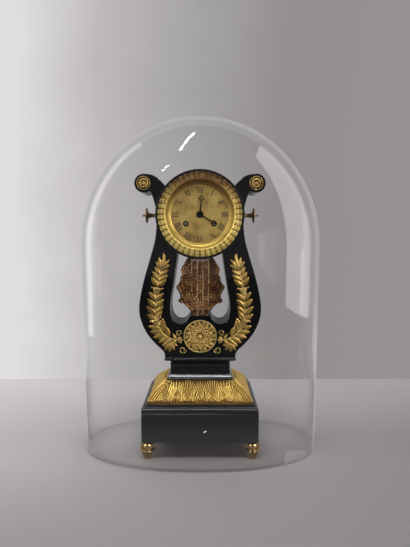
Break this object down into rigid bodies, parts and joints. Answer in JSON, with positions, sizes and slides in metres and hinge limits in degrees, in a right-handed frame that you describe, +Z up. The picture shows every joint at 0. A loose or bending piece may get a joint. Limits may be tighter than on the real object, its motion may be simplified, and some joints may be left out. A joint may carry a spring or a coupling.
{
  "type": "lyre mantel clock",
  "caption": "Lyre-shaped striking mantel clock in ebonised wood with gilt mounts, strings, swinging cartouche pendulum and turned feet, under a lift-off oval glass dome.",
  "frame": {"origin": "on the table under the middle of the clock and its dome", "axes": "+X to the viewer's right, +Y away from the viewer, +Z up"},
  "size_m": [0.394, 0.194, 0.553],
  "materials": {
    "ebony": "ebonised, soft french-polish gloss",
    "raw_wood": "plain stained wood",
    "foot_brass": "turned and polished, warm tarnish",
    "gilt": "stamped and fire-gilt",
    "dial_gilt": "engine-turned gilt",
    "dark_brass": "brown patina",
    "movement_brass": "brushed and lacquered",
    "steel": "polished steel",
    "bell_metal": "silvered bell metal",
    "blued_steel": "blued steel",
    "clear_glass": "clear blown glass"
  },
  "bodies": {
    "case": {"plinth_box": "ebony", "bottom_board": "raw_wood", "plinth_cap": "ebony", "feet": "foot_brass", "gilt_skirt": "gilt", "skirt_core": "raw_wood", "pedestal": "ebony", "neck_moulding": "ebony", "tie_bolt": "steel", "lyre_body": "ebony", "dial_drum": "ebony", "scroll_rosettes": "gilt", "side_pegs": "dark_brass", "left_laurel": "gilt", "right_laurel": "gilt", "medallion": "gilt", "medallion_curls": "gilt", "string_rail": "dark_brass", "strings": "dark_brass", "bezel": "gilt", "dial_plate": "dial_gilt", "front_plate": "movement_brass", "back_plate": "movement_brass", "pillars": "movement_brass", "case_straps": "movement_brass", "rear_ring": "movement_brass", "back_cock": "movement_brass", "suspension_spring": "steel", "bell": "bell_metal", "bell_stand": "movement_brass", "bell_nut": "blued_steel"},
    "minute_arbor": {"minute_hand": "blued_steel", "hand_nut": "blued_steel", "cannon_pinion": "steel", "centre_wheel": "movement_brass"},
    "hour_pipe": {"hour_hand": "blued_steel", "hour_wheel": "movement_brass"},
    "motion_wheel": {"minute_wheel": "movement_brass"},
    "intermediate": {"intermediate_wheel": "movement_brass"},
    "going_barrel": {"going_barrel": "movement_brass", "going_mainspring": "blued_steel"},
    "third": {"third_wheel": "movement_brass"},
    "escape": {"escape_wheel": "movement_brass"},
    "pendulum": {"pendulum_rod": "movement_brass", "pendulum_bob": "dark_brass"},
    "anchor": {"anchor": "steel"},
    "going_winding": {"going_winding_arbor": "steel"},
    "strike_winding": {"strike_winding_arbor": "steel"},
    "going_click": {"going_click": "steel"},
    "strike_click": {"strike_click": "steel"},
    "locking": {"locking_wheel": "movement_brass"},
    "strike_barrel": {"strike_barrel": "movement_brass", "strike_mainspring": "blued_steel"},
    "strike_second": {"strike_second_wheel": "movement_brass", "count_wheel": "movement_brass"},
    "pin": {"pin_wheel": "movement_brass"},
    "warning": {"warning_wheel": "movement_brass"},
    "fly": {"fly": "movement_brass"},
    "hammer": {"hammer": "steel"},
    "dome": {"glass_dome": "clear_glass"}
  },
  "joints": [
    {"name": "minute_hand_turn", "type": "hinge", "parent": "case", "child": "minute_arbor", "pos_m": [0, 0, 0.394], "axis": [0, 1, 0], "continuous": true},
    {"name": "hour_hand_turn", "type": "hinge", "parent": "case", "child": "hour_pipe", "pos_m": [0, -0.032, 0.394], "axis": [0, 1, 0], "continuous": true},
    {"name": "minute_wheel_turn", "type": "hinge", "parent": "case", "child": "motion_wheel", "pos_m": [0, -0.03, 0.3828], "axis": [0, 1, 0], "continuous": true},
    {"name": "intermediate_turn", "type": "hinge", "parent": "case", "child": "intermediate", "pos_m": [0.01417, 0, 0.40143], "axis": [0, 1, 0], "continuous": true},
    {"name": "going_barrel_turn", "type": "hinge", "parent": "case", "child": "going_barrel", "pos_m": [0.0224, -0.012, 0.3794], "axis": [0, 1, 0], "continuous": true},
    {"name": "third_wheel_turn", "type": "hinge", "parent": "case", "child": "third", "pos_m": [-0.00272, 0.005, 0.4094], "axis": [0, 1, 0], "continuous": true},
    {"name": "escape_wheel_turn", "type": "hinge", "parent": "case", "child": "escape", "pos_m": [0.00464, 0.008, 0.41817], "axis": [0, 1, 0], "continuous": true},
    {"name": "pendulum_swing", "type": "hinge", "parent": "case", "child": "pendulum", "pos_m": [0, 0.033, 0.42847], "axis": [0, 1, 0], "range_deg": [-4, 4]},
    {"name": "anchor_rock", "type": "hinge", "parent": "case", "child": "anchor", "pos_m": [0, 0.01, 0.42847], "axis": [0, 1, 0], "range_deg": [-4, 4]},
    {"name": "going_winding_turn", "type": "hinge", "parent": "case", "child": "going_winding", "pos_m": [0.0224, -0.02, 0.3794], "axis": [0, 1, 0], "continuous": true},
    {"name": "strike_winding_turn", "type": "hinge", "parent": "case", "child": "strike_winding", "pos_m": [-0.0224, -0.02, 0.3794], "axis": [0, 1, 0], "continuous": true},
    {"name": "going_click_lift", "type": "hinge", "parent": "case", "child": "going_click", "pos_m": [0.0289, -0.028, 0.36814], "axis": [0, 1, 0], "range_deg": [0, 12]},
    {"name": "strike_click_lift", "type": "hinge", "parent": "case", "child": "strike_click", "pos_m": [-0.0159, -0.028, 0.36814], "axis": [0, 1, 0], "range_deg": [0, 12]},
    {"name": "locking_wheel_turn", "type": "hinge", "parent": "case", "child": "locking", "pos_m": [-0.01041, -0.01, 0.42281], "axis": [0, 1, 0], "continuous": true},
    {"name": "strike_barrel_turn", "type": "hinge", "parent": "case", "child": "strike_barrel", "pos_m": [-0.0224, -0.012, 0.3794], "axis": [0, 1, 0], "continuous": true},
    {"name": "strike_second_turn", "type": "hinge", "parent": "case", "child": "strike_second", "pos_m": [-0.02441, 0.009, 0.40235], "axis": [0, 1, 0], "continuous": true},
    {"name": "pin_wheel_turn", "type": "hinge", "parent": "case", "child": "pin", "pos_m": [-0.01741, -0.007, 0.41448], "axis": [0, 1, 0], "continuous": true},
    {"name": "warning_wheel_turn", "type": "hinge", "parent": "case", "child": "warning", "pos_m": [-0.01178, -0.018, 0.43053], "axis": [0, 1, 0], "continuous": true},
    {"name": "fly_turn", "type": "hinge", "parent": "case", "child": "fly", "pos_m": [-0.0173, 0, 0.42905], "axis": [0, 1, 0], "continuous": true},
    {"name": "hammer_swing", "type": "hinge", "parent": "case", "child": "hammer", "pos_m": [-0.03, 0.016, 0.38], "axis": [0, 1, 0], "range_deg": [-8, 0]},
    {"name": "dome_lift", "type": "slide", "parent": "case", "child": "dome", "axis": [0, 0, 1], "range_m": [0, 0.56]}
  ],
  "couplings": [
    {"joint": "hour_hand_turn", "follows": "minute_hand_turn", "ratio": 0.083333},
    {"joint": "minute_wheel_turn", "follows": "minute_hand_turn", "ratio": -0.33333},
    {"joint": "intermediate_turn", "follows": "minute_hand_turn", "ratio": -0.14286},
    {"joint": "going_barrel_turn", "follows": "minute_hand_turn", "ratio": 0.02381},
    {"joint": "third_wheel_turn", "follows": "minute_hand_turn", "ratio": -10.5},
    {"joint": "escape_wheel_turn", "follows": "minute_hand_turn", "ratio": 105},
    {"joint": "anchor_rock", "follows": "pendulum_swing", "ratio": 1},
    {"joint": "pin_wheel_turn", "follows": "locking_wheel_turn", "ratio": -0.14286},
    {"joint": "strike_second_turn", "follows": "locking_wheel_turn", "ratio": 0.02381},
    {"joint": "strike_barrel_turn", "follows": "locking_wheel_turn", "ratio": -0.0034014},
    {"joint": "warning_wheel_turn", "follows": "locking_wheel_turn", "ratio": -6},
    {"joint": "fly_turn", "follows": "locking_wheel_turn", "ratio": 27}
  ]
}
